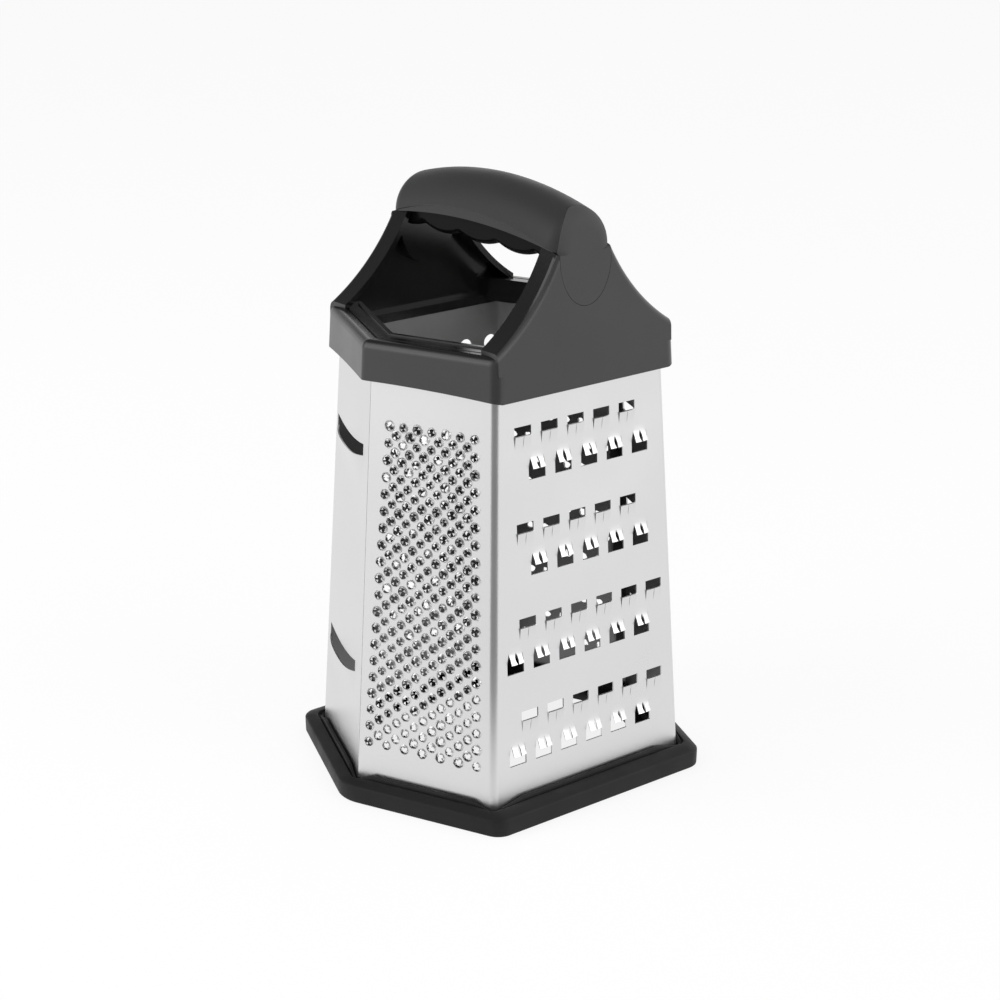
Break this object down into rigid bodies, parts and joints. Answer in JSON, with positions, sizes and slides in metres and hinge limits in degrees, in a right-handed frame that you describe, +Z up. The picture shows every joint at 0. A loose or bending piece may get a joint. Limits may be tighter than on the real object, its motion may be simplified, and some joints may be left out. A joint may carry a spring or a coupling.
{
  "type": "box grater",
  "caption": "Tapered six-sided box grater of sheet steel with a different cutting pattern on each face, a moulded cap with an arched grip, and a soft pull-off foot ring.",
  "frame": {"origin": "on the table, at the centre of the foot ring's underside", "axes": "+Z up; X runs along the grip and is square to the two wide faces, with the coarse face on +X; the four slanted faces meet at ridges on -Y and +Y"},
  "size_m": [0.1296, 0.1536, 0.2366],
  "materials": {
    "ring_rubber": "matte",
    "steel": "brushed",
    "frame_plastic": "satin",
    "rest_plastic": "gloss",
    "cover_plastic": "matte",
    "pad_rubber": "matte"
  },
  "bodies": {
    "ring": {"foot_ring": "ring_rubber"},
    "grater": {"front_shell": "steel", "rear_shell": "steel", "handle_frame": "frame_plastic", "finger_rest": "rest_plastic", "grip_cover": "cover_plastic", "end_pad_front": "pad_rubber", "end_pad_rear": "pad_rubber"}
  },
  "joints": [
    {"name": "ring_pull_off", "type": "slide", "parent": "ring", "child": "grater", "axis": [0, 0, 1], "range_m": [0, 0.03]}
  ]
}
